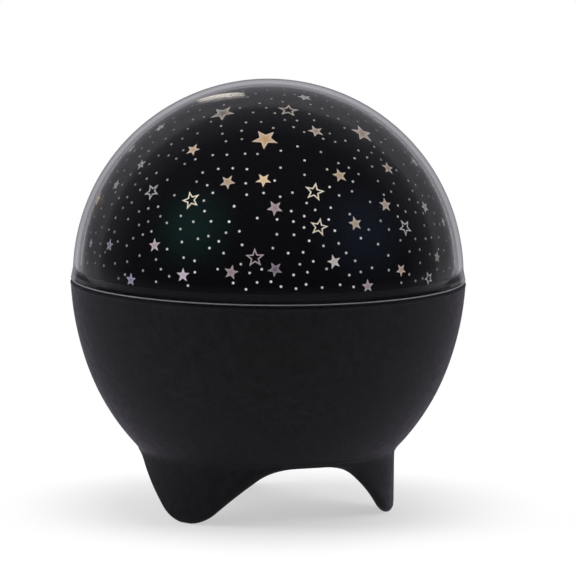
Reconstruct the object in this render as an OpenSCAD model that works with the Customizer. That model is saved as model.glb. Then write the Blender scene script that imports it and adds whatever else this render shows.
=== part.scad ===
// Planetarium projector of the night-light kind. A fixed light stands at the centre of a printed
// star dome, which turns on a geared turntable under a clear cover. The bowl below holds the
// drive, the circuit board and four cells, and stands on three wave-shaped legs.
// Millimetres, +Z up. The origin is on the floor under the middle of the bowl. One leg points
// forwards to -Y, and the buttons and the power socket are at the back, +Y.

/* [Bowl] */
// Diameter across the lip of the rim
rim_d = 130; // [129.8:0.1:131]
// Height of the rim's top face above the floor
seam_z = 75.7; // [75.5:0.1:77]
// Lean of the wall just under the rim, in degrees
rim_tilt = 2.5; // [1:0.5:4]
// Radius of the upper arc of the bowl's profile
upper_arc = 96; // [92:1:110]
// Radius of the lower arc of the bowl's profile
lower_arc = 75.5; // [74:0.5:78]
// Height at which the two arcs meet
arcs_meet = 47.7; // [46:0.1:50]
// Thickness of the moulded wall
bowl_wall = 2.2; // [2:0.1:2.4]

/* [Legs] */
// Height of the crease between bowl and legs, and of the arches' tops
leg_h = 20; // [19:0.5:21]
// Half the width of a leg where it runs into the arches
leg_reach = 34; // [33:0.1:35]
// Radius of a leg's tip and of the arch beside it
leg_curve = 16; // [15:0.5:16.5]
// Width of the flat that a leg stands on
tip_flat = 4; // [3:0.5:5]

/* [Clear cover] */
// Outer radius of the cover's sphere
cover_r = 64.15; // [64:0.05:64.4]
// Height of the sphere's centre
cover_z = 77.4; // [77.2:0.1:77.8]
// Wall thickness of the cover
cover_wall = 2; // [1.6:0.1:2.1]

/* [Star dome] */
// Outer radius of the printed dome
film_r = 61.2; // [60.9:0.1:61.3]
// Height of its centre, where the light is
film_z = 77.9; // [77.5:0.1:78]
// Thickness of the printed film
film_wall = 0.6; // [0.4:0.1:0.8]

/* [Drive] */
// Teeth of the ring gear under the turntable
ring_teeth = 60; // [60:60]
// Teeth of the small wheel of the reduction gear
small_teeth = 12; // [12:12]
// Module of the ring gear and the small wheel
ring_module = 1; // [1:1]
// Teeth of the large wheel of the reduction gear
large_teeth = 40; // [40:40]
// Teeth of the pinion on the motor shaft
pinion_teeth = 10; // [10:10]
// Module of the large wheel and the pinion
motor_module = 0.8; // [0.8:0.8]
// Direction of the reduction gear seen from the middle, in degrees
gear_angle = -30; // [-36:6:-24]
// Play between two meshing teeth
backlash = 0.2; // [0.15:0.05:0.3]

/* [Controls] */
// Height of the buttons' middle line
button_z = 62.5; // [62:0.5:63]
// Distance between neighbouring buttons
button_pitch = 14; // [13:0.5:14.5]
// Radius of a button
button_r = 4; // [3.5:0.1:4.2]
// Travel of a button
button_travel = 0.8; // [0.5:0.1:0.8]
// Height of the power socket's middle
socket_z = 49; // [48.5:0.5:50]

/* [Battery box] */
// Radius of a cell of the AAA size
cell_r = 5.25; // [5.15:0.05:5.25]
// Length of a cell with its nub
cell_l = 44.5; // [43.5:0.5:44.5]
// Distance between neighbouring cells
cell_pitch = 10.75; // [10.7:0.05:10.9]

/* [Hidden] */
$fn = 96;
eps = 0.01;

// Plastic, metal and print colours
body_black = "#232225";
inner_black = "#2c2c2e";
film_black = "#101012";
steel = "#b9bcc0";
brass = "#b89a55";
natural_plastic = "#e8e4d8";
board_green = "#2f5d3a";

// Bowl: centres of the two tangent arcs, each as [radius, height]
rim_r = rim_d / 2;
rim_lip = 0.1;
rim_lip_h = 0.8;
upper_c = [rim_r - rim_lip - upper_arc * cos(rim_tilt), seam_z + upper_arc * sin(rim_tilt)];
meet_tilt = asin((upper_c[1] - arcs_meet) / upper_arc);
lower_c = upper_c + (upper_arc - lower_arc) * [cos(meet_tilt), -sin(meet_tilt)];

// Radius of the bowl below the meeting height, and where the inset arcs meet
function bowl_r(z, inset) = lower_c[0] + sqrt(pow(lower_arc - inset, 2) - pow(z - lower_c[1], 2));
function meet_z(inset) = upper_c[1] - (upper_arc - inset) * sin(meet_tilt);

// The legs carry on the bowl's wall straight down, and reach up into it by their root. The
// bowl's curve runs on behind the crease, so that the two walls cross there.
crease_lap = 0.1;
skirt_r = bowl_r(leg_h, 0);
skirt_in = bowl_r(leg_h, bowl_wall) - 0.17;
leg_root = 1;
leg_lap = 4;
leg_band = 0.4;
leg_angles = [-90, 30, 150];
gap_angles = [-30, 90, 210];

// Rim: the cover's spigot drops in a rebate and stands on a ledge
ledge_z = 72;
ledge_r = 60.6;
ledge_t = 2.4;
rebate_r = 63.1;

// Cover foot
foot_gap = 0.4;
foot_r = 64.8;
foot_top = 79.5;
spigot_in = 61.9;
spigot_out = 62.9;

// Deck: the inner floor that carries the drive
deck_z = 64;
deck_t = 2;
deck_r = 60.2;
deck_top = deck_z + deck_t;
deck_notch = [53, 46.5];
deck_screw_r = 55;
deck_screw_angles = [45, 135, 225, 315];
thrust_h = 0.6;

// Light post
post_r = 7;
post_bore = 4.2;
post_top = 75.5;
post_flange = [11, 2];
post_screw_r = 9;
led_board = [9, 1.2];
led_screw_r = 5.6;

// Turntable
disc_z = 71.6;
disc_t = 1.6;
hub_r = 11;
hub_bore = post_r + 0.06;
hub_top = 75.2;
seat_z = 74;
seat_r = 61.3;
collar_r = 60.35;
collar_t = 1.35;
ring_z = 69;
ring_bore = 26;

// Gears
small_r = small_teeth * ring_module / 2;
large_r = large_teeth * motor_module / 2;
ring_r = ring_teeth * ring_module / 2;
pinion_r = pinion_teeth * motor_module / 2;
gear_axis = (ring_r + small_r) * [cos(gear_angle), sin(gear_angle)];
motor_dist = ring_r + small_r;
motor_angle = gear_angle - 2 * asin((large_r + pinion_r) / (2 * motor_dist));
motor_axis = motor_dist * [cos(motor_angle), sin(motor_angle)];
mesh_angle = atan2(motor_axis[1] - gear_axis[1], motor_axis[0] - gear_axis[0]);
wheel_z = 66.4;
wheel_t = 2;
small_top = 71.3;
axle_r = 1;
axle_z = [58, 71.2];

// Motor
can_r = 10;
can_flat = 15.4;
can_z = [43.5, 64];
cap_z = 40;
clamp_reach = 14.5;
clamp_t = 1.4;
shaft_z = [60, 68.3];

// Control panel: a flat at the bottom of a pocket in the back wall
panel_y = 58.5;
panel_t = 2.2;
pocket = [46, 13];
pocket_wall = 1.8;
pocket_corner = 3;
board_y = 49;
board_t = 1.6;
board_box = [40, 25];
board_z = 44;
board_screw = [17, 54.3];
switch_t = 3.5;
button_proud = 1.6;
socket_size = [7.6, 6.8, 2.8];

// Base plate, battery box and its door
plate_t = 2.4;
plate_r = skirt_in - 0.3;
plate_screw_r = 36.3;
box_in = [43, 50.4];
box_wall = 1.6;
cell_z = 27.4;
box_ceiling = 32.8;
door_t = 1.8;
door_gap = 0.25;
hook = [8, 2.5];
hook_x = 12;
lip_t = 0.9;
tongue = [12, 9];
tongue_y = box_in[1] / 2 + 2.5;
door_screw_y = 29.3;

// ---- Shared shapes ----

// Places its children once for each angle, at a distance from the middle
module ring_of(angles, r) {
    for (a = angles)
        rotate([0, 0, a]) translate([r, 0, 0]) children();
}

// Flat rectangle with round corners, centred
module round_rect(size, corner) {
    square([size[0] - 2 * corner, size[1]], center = true);
    square([size[0], size[1] - 2 * corner], center = true);
    for (x = [-1, 1], y = [-1, 1])
        translate([x * (size[0] / 2 - corner), y * (size[1] / 2 - corner)])
            circle(r = corner, $fn = 32);
}

// Half section of the bowl's solid, its curve moved inwards by inset
module bowl_section(inset) {
    intersection() {
        translate(upper_c) circle(r = upper_arc - inset, $fn = 360);
        translate([0, meet_z(inset)]) square([rim_r, seam_z - meet_z(inset)]);
    }
    intersection() {
        translate(lower_c) circle(r = lower_arc - inset, $fn = 360);
        translate([0, leg_h - crease_lap]) square([rim_r, meet_z(inset) - leg_h + crease_lap]);
    }
}

// Screw with a round head and a cross recess, standing on its tip, the seat of its head at z = 0
module screw(shank_r, length, head_r, head_h) {
    translate([0, 0, -length]) cylinder(r = shank_r, h = length + head_h / 2, $fn = 24);
    difference() {
        cylinder(r = head_r, h = head_h, $fn = 32);
        for (a = [0, 90])
            rotate([0, 0, a])
                translate([-head_r * 0.6, -head_r * 0.12, head_h * 0.5])
                    cube([head_r * 1.2, head_r * 0.24, head_h]);
    }
}

// Point on an involute of a base circle, at a radius, and the angle it has turned by there
function inv_angle(base, r) = sqrt(pow(r / base, 2) - 1) * 180 / PI - acos(base / r);

// Half the angle of a tooth at radius r: half a tooth at the pitch circle, plus the involute
function half_tooth(teeth, pitch, base, r, play) =
    90 / teeth - play / pitch * 45 / PI + inv_angle(base, pitch) - inv_angle(base, max(r, base));

// Involute gear outline with its first tooth centred on +X. The tip stands addendum modules
// outside the pitch circle, and the root is 1.25 modules inside it.
module gear_outline(teeth, gear_module, addendum) {
    pitch = teeth * gear_module / 2;
    base = pitch * cos(20);
    root = pitch - 1.25 * gear_module;
    tip = pitch + addendum * gear_module;
    start = max(root, base);
    flank = [root, for (i = [0:4]) start + (tip - start) * i / 4];
    polygon([
        for (t = [0:teeth - 1], side = [-1, 1], i = [0:5])
            let (r = flank[side < 0 ? i : 5 - i])
            let (a = 360 * t / teeth + side * half_tooth(teeth, pitch, base, r, backlash))
            r * [cos(a), sin(a)]
    ]);
}

// Point at t from 0 to 1 on the curve that starts at a, ends at c and is pulled towards b
function bend(a, b, c, t) = (1 - t) * (1 - t) * a + 2 * t * (1 - t) * b + t * t * c;

// Insulated wire: straight at both ends, with a round bend at each point between. An
// eight-sided ring stands square to the route at each of its points.
module wire(points, r) {
    last = len(points) - 1;
    route = [
        points[0],
        for (i = [1:last - 1], t = [0:0.25:1])
            bend((points[i - 1] + points[i]) / 2, points[i], (points[i] + points[i + 1]) / 2, t),
        points[last]
    ];
    rings = len(route);
    sides = 8;
    across = [1, 0, 0];
    ring_points = [
        for (i = [0:rings - 1], k = [0:sides - 1])
            let (run = route[min(i + 1, rings - 1)] - route[max(i - 1, 0)])
            let (up = cross(across, run) / norm(cross(across, run)))
            let (side = cross(up, run) / norm(run))
            route[i] + r * (cos(360 * k / sides) * side + sin(360 * k / sides) * up)
    ];
    polyhedron(ring_points, [
        [for (k = [0:sides - 1]) k],
        for (i = [0:rings - 2], k = [0:sides - 1], half = [0, 1])
            let (a = i * sides + k, b = i * sides + (k + 1) % sides)
            half == 0 ? [a, a + sides, b] : [b, a + sides, b + sides],
        [for (k = [sides - 1:-1:0]) (rings - 1) * sides + k]
    ]);
}

// ---- Housing ----

// Outline of one leg, seen from the outside: a round tip, straight flanks and hollow shoulders
// that run out into the narrow band under the crease. It lies too low by sink, so that the
// floor cuts a flat under the tip.
module leg_outline() {
    sink = leg_curve - sqrt(pow(leg_curve, 2) - pow(tip_flat / 2, 2));
    rise = leg_h - leg_band + sink;
    between = [leg_reach, rise - 2 * leg_curve];
    slope = atan2(between[1], between[0]) + asin(2 * leg_curve / norm(between));
    steps = 8;
    half = [
        for (i = [0:steps])
            let (a = slope * i / steps)
            leg_curve * [sin(a), 1 - cos(a)],
        for (i = [steps:-1:0])
            let (a = slope * i / steps)
            [leg_reach - leg_curve * sin(a), rise - leg_curve * (1 - cos(a))],
        [skirt_r, rise + 0.2],
        [skirt_r, leg_h + 2 * leg_root + sink]
    ];
    translate([0, -sink])
        for (side = [0, 1])
            mirror([side, 0]) polygon([for (p = half) p, [0, leg_h + 2 * leg_root + sink]]);
}

// The vertical wall under the bowl: one ring, cut to the outline of a leg in each third. The
// thirds lap a little.
module leg_skirt() {
    half = 180 / len(leg_angles) + leg_lap / 2;
    behind = skirt_in * cos(half) - 2;
    intersection() {
        rotate_extrude($fn = 180)
            translate([skirt_in, 0]) square([skirt_r - skirt_in, leg_h + leg_root]);
        for (a = leg_angles)
            rotate([0, 0, a + 90])
                intersection() {
                    translate([0, -behind, 0])
                        rotate([90, 0, 0]) linear_extrude(height = skirt_r) leg_outline();
                    linear_extrude(height = leg_h + 2 * leg_root)
                        polygon([
                            [0, 0],
                            3 * skirt_r * [-sin(half), -cos(half)],
                            3 * skirt_r * [sin(half), -cos(half)]
                        ]);
                }
    }
}

// Screw columns inside the bowl, each with a web to the wall
module shell_columns() {
    intersection() {
        union() {
            ring_of(deck_screw_angles, deck_screw_r)
                translate([0, 0, leg_h + 15]) {
                    cylinder(r = 3.6, h = deck_z - leg_h - 15, $fn = 48);
                    translate([0, -1, 0]) cube([rim_r - deck_screw_r, 2, deck_z - leg_h - 15]);
                }
            ring_of(gap_angles, plate_screw_r)
                translate([0, 0, leg_h + plate_t]) {
                    cylinder(r = 3.2, h = 11, $fn = 48);
                    translate([0, -1, 0]) cube([14, 2, 11]);
                }
            for (side = [-1, 1])
                translate([side * board_screw[0], rim_r, board_screw[1]])
                    rotate([90, 0, 0])
                        cylinder(r = 2.2, h = rim_r - board_y - board_t, $fn = 32);
        }
        rotate_extrude($fn = 180) bowl_section(bowl_wall / 2);
    }
}

// Thick wall round the control pocket, out to the bowl's own surface
module pocket_block() {
    intersection() {
        translate([0, panel_y - panel_t, button_z])
            rotate([-90, 0, 0])
                linear_extrude(height = rim_r - panel_y + panel_t)
                    round_rect([pocket[0], pocket[1]] + 2 * pocket_wall * [1, 1],
                               pocket_corner + pocket_wall);
        rotate_extrude($fn = 180) bowl_section(0);
    }
}

module body_shell() {
    color(body_black)
    difference() {
        union() {
            rotate_extrude($fn = 180)
                difference() {
                    union() {
                        bowl_section(0);
                        translate([rim_r - 1, seam_z - rim_lip_h]) square([1, rim_lip_h]);
                    }
                    difference() {
                        bowl_section(bowl_wall);
                        translate([ledge_r, ledge_z - ledge_t]) square([4, ledge_t]);
                    }
                    translate([0, ledge_z]) square([rebate_r, 10]);
                }
            leg_skirt();
            shell_columns();
            pocket_block();
        }
        // Control pocket, button holes and the hole for the power plug
        translate([0, panel_y, button_z])
            rotate([-90, 0, 0]) linear_extrude(height = 10) round_rect(pocket, pocket_corner);
        for (i = [-1, 0, 1])
            translate([i * button_pitch, panel_y + 1, button_z])
                rotate([90, 0, 0]) cylinder(r = button_r + 0.1, h = panel_t + 2, $fn = 48);
        translate([0, board_y + board_t + 2, socket_z])
            rotate([-90, 0, 0]) linear_extrude(height = 20) round_rect([11.4, 6.8], 1.6);
        // Pilot bores of the columns
        ring_of(deck_screw_angles, deck_screw_r)
            translate([0, 0, deck_z - 9]) cylinder(r = 1.2, h = 10, $fn = 24);
        ring_of(gap_angles, plate_screw_r)
            translate([0, 0, leg_h + plate_t - 1]) cylinder(r = 1.2, h = 9, $fn = 24);
        for (side = [-1, 1])
            translate([side * board_screw[0], board_y + board_t + 4.5, board_screw[1]])
                rotate([90, 0, 0]) cylinder(r = 0.9, h = 5, $fn = 24);
    }
}

// The cover's sphere ends just above its foot. The lines of the foot and the spigot run on into
// the wall, so that each crosses the sphere at an angle.
module clear_cover() {
    foot_z = seam_z + foot_gap;
    foot_in = sqrt(pow(cover_r, 2) - pow(foot_top - cover_z, 2));
    color("white", 0.25)
    rotate_extrude() {
        intersection() {
            difference() {
                translate([0, cover_z]) circle(r = cover_r, $fn = 180);
                translate([0, cover_z]) circle(r = cover_r - cover_wall, $fn = 180);
            }
            translate([0, foot_z + 0.6]) square([cover_r, 2 * cover_r]);
        }
        polygon([
            [spigot_in, ledge_z], [spigot_out, ledge_z], [spigot_out, foot_z], [foot_r, foot_z],
            [foot_r, foot_z] + 1.3 * [foot_in - foot_r, foot_top - foot_z],
            [spigot_out, foot_top + 4.5], [spigot_in, foot_top + 4.5]
        ]);
    }
}

module star_dome() {
    color(film_black)
    rotate_extrude()
        intersection() {
            difference() {
                translate([0, film_z]) circle(r = film_r, $fn = 180);
                translate([0, film_z]) circle(r = film_r - film_wall, $fn = 180);
            }
            translate([0, seat_z]) square([film_r, 2 * film_r]);
        }
}

module base_plate() {
    box_out = box_in + 2 * box_wall * [1, 1];
    color(inner_black)
    difference() {
        union() {
            translate([0, 0, leg_h]) cylinder(r = plate_r, h = plate_t);
            translate([0, 0, leg_h])
                linear_extrude(height = box_ceiling + box_wall - leg_h) round_rect(box_out, 2);
            translate([0, door_screw_y, leg_h]) cylinder(r = 3.1, h = plate_t + 5, $fn = 32);
        }
        // Room for the cells, open below
        translate([-box_in[0] / 2, -box_in[1] / 2, leg_h - 1])
            cube([box_in[0], box_in[1], box_ceiling - leg_h + 1]);
        // Seat and screw hole of the door's tongue
        translate([0, tongue_y, leg_h - 1])
            linear_extrude(height = door_t + 1) round_rect(tongue + 2 * door_gap * [1, 1], 2);
        translate([0, door_screw_y, leg_h]) cylinder(r = 1.9, h = plate_t + 4, $fn = 24);
        // Slots in which the door's hooks turn, over a lip that is left below
        for (side = [-1, 1])
            translate([side * hook_x - hook[0] / 2 - 0.4, -box_in[1] / 2 - hook[1] - 0.3,
                       leg_h + lip_t])
                cube([hook[0] + 0.8, hook[1] + 1, 2.6]);
        // Screw holes with room for the heads
        ring_of(gap_angles, plate_screw_r)
            translate([0, 0, leg_h - eps]) {
                cylinder(r = 1.4, h = plate_t + 1, $fn = 24);
                cylinder(r = 2.6, h = 1.4, $fn = 32);
            }
        // Slots for the two battery wires
        for (side = [-1, 1])
            translate([side * 16 - 1, box_in[1] / 2 - 1, cell_z + 1])
                cube([2, box_wall + 2, 2]);
    }
}

module battery_door() {
    size = box_in - 2 * door_gap * [1, 1];
    color(inner_black)
    difference() {
        union() {
            translate([-size[0] / 2, -size[1] / 2, leg_h]) cube([size[0], size[1], door_t]);
            translate([0, tongue_y, leg_h])
                linear_extrude(height = door_t) round_rect(tongue, 2);
            // Hooks that reach over a lip of the base plate
            for (side = [-1, 1])
                translate([side * hook_x - hook[0] / 2, -box_in[1] / 2 - hook[1], leg_h + lip_t + 0.1])
                    cube([hook[0], hook[1] + 1, door_t - lip_t - 0.1]);
        }
        translate([0, door_screw_y, leg_h - eps]) {
            cylinder(r = 1.3, h = door_t + 1, $fn = 24);
            cylinder(r = 2.6, h = 1, $fn = 32);
        }
        // Row of grip grooves by the tongue
        for (i = [0:4])
            translate([-7, size[1] / 2 - 3 - 2.4 * i, leg_h - eps]) cube([14, 1, 0.5]);
    }
}

// ---- Turntable and drive ----

module turntable() {
    color(inner_black) {
        rotate_extrude() {
            // Hub, disc, collar inside the star dome and the seat under its edge
            translate([hub_bore, deck_top + thrust_h])
                square([hub_r - hub_bore, hub_top - deck_top - thrust_h]);
            translate([hub_bore, disc_z]) square([collar_r - hub_bore, disc_t]);
            translate([collar_r - collar_t, disc_z]) square([collar_t, seat_z + 2 - disc_z]);
            translate([collar_r - collar_t, seat_z - 1.2]) square([seat_r - collar_r + collar_t, 1.2]);
        }
        translate([0, 0, ring_z])
            linear_extrude(height = disc_z - ring_z + eps)
                difference() {
                    gear_outline(ring_teeth, ring_module, 0.6);
                    circle(r = ring_bore);
                }
        // Ribs between the hub and the ring gear
        for (a = [0:60:300])
            rotate([0, 0, a])
                translate([hub_r - 1, -0.6, ring_z + 1])
                    cube([ring_bore - hub_r + 2, 1.2, disc_z - ring_z - 1 + eps]);
    }
}

module deck() {
    color(inner_black)
    difference() {
        union() {
            translate([0, 0, deck_z]) cylinder(r = deck_r, h = deck_t);
            translate([0, 0, deck_top - eps]) cylinder(r = hub_r, h = thrust_h + eps);
            // Boss of the gear axle, below the deck and as a low seat above it
            translate([gear_axis[0], gear_axis[1], axle_z[0]])
                cylinder(r = 3, h = wheel_z - 0.1 - axle_z[0], $fn = 32);
            // Cradle round the motor and the two posts of its clamp
            translate([motor_axis[0], motor_axis[1], 0])
                rotate([0, 0, motor_angle + 90]) {
                    translate([0, 0, deck_z - 12]) cylinder(r = can_r + 1.6, h = 12 + eps, $fn = 64);
                    for (side = [-1, 1])
                        translate([side * clamp_reach, 0, cap_z])
                            cylinder(r = 2.8, h = deck_z - cap_z + eps, $fn = 32);
                }
        }
        translate([0, 0, deck_z - 1]) cylinder(r = post_r + 0.05, h = deck_t + 3);
        translate([-deck_notch[0] / 2, deck_notch[1], deck_z - 1])
            cube([deck_notch[0], 20, deck_t + 2]);
        ring_of(deck_screw_angles, deck_screw_r)
            translate([0, 0, deck_z - 1]) cylinder(r = 1.4, h = deck_t + 2, $fn = 24);
        translate([gear_axis[0], gear_axis[1], axle_z[0] - 1])
            cylinder(r = axle_r, h = wheel_z - axle_z[0] + 1, $fn = 24);
        ring_of([0, 180], post_screw_r)
            translate([0, 0, deck_z - 1]) cylinder(r = 1.05, h = 3.3, $fn = 24);
        translate([motor_axis[0], motor_axis[1], 0])
            rotate([0, 0, motor_angle + 90]) {
                translate([0, 0, deck_z - 13]) cylinder(r = can_r + 0.1, h = 13, $fn = 64);
                translate([0, 0, deck_z - 1]) cylinder(r = 5.5, h = deck_t + 2, $fn = 48);
                for (side = [-1, 1])
                    translate([side * clamp_reach, 0, cap_z - 1]) cylinder(r = 1.1, h = 9, $fn = 24);
            }
    }
}

module light_post() {
    color(natural_plastic)
    difference() {
        union() {
            translate([0, 0, deck_z - post_flange[1]])
                cylinder(r = post_flange[0], h = post_flange[1], $fn = 64);
            translate([0, 0, deck_z - 1]) cylinder(r = post_r, h = post_top - deck_z + 1);
        }
        translate([0, 0, deck_z - 3]) cylinder(r = post_bore, h = post_top, $fn = 48);
        ring_of([0, 180], post_screw_r)
            translate([0, 0, deck_z - 3]) cylinder(r = 1.2, h = 4, $fn = 24);
        ring_of([0, 180], led_screw_r)
            translate([0, 0, post_top - 4.2]) cylinder(r = 0.75, h = 5, $fn = 24);
    }
}

module reduction_gear() {
    color(natural_plastic)
    translate([gear_axis[0], gear_axis[1], wheel_z])
        difference() {
            union() {
                linear_extrude(height = wheel_t)
                    rotate(mesh_angle) gear_outline(large_teeth, motor_module, 0.55);
                // A gap of the small wheel faces the tooth of the ring gear
                linear_extrude(height = small_top - wheel_z)
                    rotate(gear_angle + 180 + 180 / small_teeth)
                        gear_outline(small_teeth, ring_module, 0.9);
            }
            translate([0, 0, -1]) cylinder(r = axle_r + 0.06, h = 10, $fn = 32);
            for (a = [0:60:300])
                rotate([0, 0, a]) translate([10.6, 0, -1]) cylinder(r = 2.6, h = 4, $fn = 32);
        }
}

module gear_axle() {
    color(steel)
    translate([gear_axis[0], gear_axis[1], axle_z[0]])
        cylinder(r = axle_r, h = axle_z[1] - axle_z[0], $fn = 32);
}

module motor_pinion() {
    color(brass)
    translate([motor_axis[0], motor_axis[1], wheel_z])
        difference() {
            linear_extrude(height = wheel_t)
                rotate(mesh_angle + 180 + 180 / pinion_teeth)
                    gear_outline(pinion_teeth, motor_module, 0.9);
            translate([0, 0, -1]) cylinder(r = axle_r, h = 5, $fn = 32);
        }
}

module motor_shaft() {
    color(steel)
    translate([motor_axis[0], motor_axis[1], shaft_z[0]])
        cylinder(r = axle_r, h = shaft_z[1] - shaft_z[0], $fn = 32);
}

module motor_can() {
    color(steel)
    translate([motor_axis[0], motor_axis[1], 0])
        rotate([0, 0, motor_angle + 90])
            difference() {
                union() {
                    translate([0, 0, can_z[0]])
                        intersection() {
                            cylinder(r = can_r, h = can_z[1] - can_z[0], $fn = 64);
                            translate([-can_r, -can_flat / 2, 0])
                                cube([2 * can_r, can_flat, 30]);
                        }
                    translate([0, 0, can_z[1] - eps]) cylinder(r = 3, h = 1.5, $fn = 32);
                }
                translate([0, 0, shaft_z[0] - 0.1]) cylinder(r = axle_r + 0.05, h = 8, $fn = 32);
            }
}

module motor_end_cap() {
    color(natural_plastic)
    translate([motor_axis[0], motor_axis[1], cap_z])
        rotate([0, 0, motor_angle + 90])
            intersection() {
                cylinder(r = can_r, h = can_z[0] - cap_z, $fn = 64);
                translate([-can_r, -can_flat / 2, 0]) cube([2 * can_r, can_flat, 10]);
            }
}

module motor_clamp() {
    color(steel)
    translate([motor_axis[0], motor_axis[1], cap_z - clamp_t])
        rotate([0, 0, motor_angle + 90])
            difference() {
                linear_extrude(height = clamp_t)
                    round_rect([2 * clamp_reach + 7, 7], 3.4);
                for (side = [-1, 1])
                    translate([side * clamp_reach, 0, -1]) cylinder(r = 1.3, h = 4, $fn = 24);
            }
}

// ---- Light ----

module led_board() {
    color("white")
    translate([0, 0, post_top])
        difference() {
            cylinder(r = led_board[0], h = led_board[1], $fn = 64);
            ring_of([0, 180], led_screw_r)
                translate([0, 0, -1]) cylinder(r = 0.9, h = 4, $fn = 24);
        }
}

// One white chip in the middle and three coloured ones round it
module led_chips() {
    top = post_top + led_board[1];
    color("#f2d98a")
        translate([-2.5, -2.5, top]) cube([5, 5, 1.6]);
    for (a = [90, 210, 330])
        color("#dfe6ea")
            rotate([0, 0, a]) translate([5.1, -1.4, top]) cube([2.6, 2.8, 1]);
}

// ---- Batteries ----

function cell_x(i) = (i - 1.5) * cell_pitch;

// Centre of the four cells' length: the springs take up the room at one end of each
spring_room = 4.6;
contact_t = 0.4;
function cell_turn(i) = i % 2 == 0 ? 1 : -1;

module battery_cells() {
    color("#3f6b7d")
    for (i = [0:3])
        translate([cell_x(i), cell_turn(i) * (spring_room - box_in[1] / 2 + contact_t), cell_z])
            rotate([-90 * cell_turn(i), 0, 0]) {
                cylinder(r = cell_r, h = cell_l - 1, $fn = 48);
                translate([0, 0, cell_l - 1 - eps]) cylinder(r = 1.9, h = 1 + eps, $fn = 24);
            }
}

// Conical coil contacts at the flat end of each cell, as stacked rings of wire
module battery_springs() {
    color(steel)
    for (i = [0:3])
        translate([cell_x(i), cell_turn(i) * (contact_t - box_in[1] / 2), cell_z])
            rotate([-90 * cell_turn(i), 0, 0])
                rotate_extrude($fn = 32)
                    polygon([
                        [2.6, 0], [3.6, 0], [3.6, 0.6], [3.1, 1.5], [3.4, 1.5], [2.6, 3],
                        [2.9, 3], [2.2, spring_room], [1.2, spring_room], [1.9, 3], [1.6, 3],
                        [2.4, 1.5], [2.1, 1.5], [2.6, 0.6]
                    ]);
}

// Sheet contacts: two long ones join neighbouring cells, two short ones end the row
module battery_contacts() {
    color(steel)
    for (end = [-1, 1], pair = end < 0 ? [[0, 1], [2, 3]] : [[0, 0], [1, 2], [3, 3]])
        translate([cell_x(pair[0]) - 4, end > 0 ? box_in[1] / 2 - contact_t : -box_in[1] / 2,
                   cell_z - 2.2])
            cube([cell_x(pair[1]) - cell_x(pair[0]) + 8, contact_t, 6.4]);
}

// ---- Electronics and controls ----

module main_board() {
    color(board_green)
    difference() {
        translate([-board_box[0] / 2, board_y, board_z]) cube([board_box[0], board_t, board_box[1]]);
        for (side = [-1, 1])
            translate([side * board_screw[0], board_y - 1, board_screw[1]])
                rotate([-90, 0, 0]) cylinder(r = 1.1, h = 4, $fn = 24);
    }
}

// Controller chip, capacitor and coil on the board's inner face
module board_components() {
    color("#1b1b1d") translate([-3, board_y - 1.6, 47]) cube([8, 1.6, 5]);
    color("#3c4250")
        translate([-12, board_y, 49]) rotate([90, 0, 0]) cylinder(r = 3.1, h = 7, $fn = 32);
    color("#55504c")
        translate([12.5, board_y, 61]) rotate([90, 0, 0]) cylinder(r = 2.6, h = 3, $fn = 32);
}

module tact_switches() {
    color("#3a3a3c")
    for (i = [-1, 0, 1])
        translate([i * button_pitch, board_y + board_t, button_z])
            difference() {
                translate([-3, 0, -3]) cube([6, switch_t, 6]);
                translate([0, -1, 0])
                    rotate([-90, 0, 0]) cylinder(r = 1.8, h = switch_t + 2, $fn = 32);
            }
}

// Small power inlet: a folded steel shell with a contact tongue
module power_socket() {
    x = socket_size[0];
    y = socket_size[1];
    z = socket_size[2];
    color(steel)
    translate([0, board_y + board_t, socket_z])
        difference() {
            translate([-x / 2, 0, -z / 2]) cube([x, y, z]);
            difference() {
                translate([-x / 2 + 0.4, 1.4, -z / 2 + 0.4]) cube([x - 0.8, y, z - 0.8]);
                translate([-x / 2 + 1.6, 0, 0.1]) cube([x - 3.2, y - 1, 0.5]);
            }
        }
}

// A button: crowned cap, collar behind the panel and the stem that enters its switch
module button(i) {
    collar_t_button = 1.4;
    crown_r = 14;
    back = panel_y - panel_t - collar_t_button;
    front = panel_y + button_proud;
    color("#3b3b3e")
    translate([i * button_pitch, 0, button_z])
        rotate([-90, 0, 0]) {
            intersection() {
                translate([0, 0, back]) cylinder(r = button_r, h = front - back, $fn = 48);
                translate([0, 0, front - crown_r]) sphere(r = crown_r, $fn = 96);
            }
            translate([0, 0, back]) cylinder(r = button_r + 1, h = collar_t_button, $fn = 48);
            translate([0, 0, board_y + board_t + button_travel + 0.2])
                cylinder(r = 1.7, h = back - board_y - board_t - button_travel, $fn = 32);
        }
}

module light_button() { button(-1); }
module colour_button() { button(0); }
module turn_button() { button(1); }

// ---- Fasteners ----

module deck_screws() {
    color(steel)
    ring_of(deck_screw_angles, deck_screw_r)
        translate([0, 0, deck_top]) screw(1.15, 9, 2.4, 1.6);
}

module base_screws() {
    color(steel)
    ring_of(gap_angles, plate_screw_r)
        translate([0, 0, leg_h + 1.4 - eps]) rotate([180, 0, 0]) screw(1.15, 8, 2.3, 1.2);
}

module battery_door_screw() {
    color(steel)
    translate([0, door_screw_y, leg_h + 1 - eps]) rotate([180, 0, 0]) screw(1.2, 4.2, 2.4, 0.9);
}

module clamp_screws() {
    color(steel)
    translate([motor_axis[0], motor_axis[1], cap_z - clamp_t])
        rotate([0, 0, motor_angle + 90])
            for (side = [-1, 1])
                translate([side * clamp_reach, 0, 0]) rotate([180, 0, 0]) screw(1.05, 8, 2, 1.4);
}

module post_screws() {
    color(steel)
    ring_of([0, 180], post_screw_r)
        translate([0, 0, deck_z - post_flange[1]]) rotate([180, 0, 0]) screw(1, 4, 1.8, 1.2);
}

module led_screws() {
    color(steel)
    ring_of([0, 180], led_screw_r)
        translate([0, 0, post_top + led_board[1]]) screw(0.7, 4.5, 1.3, 0.9);
}

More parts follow.
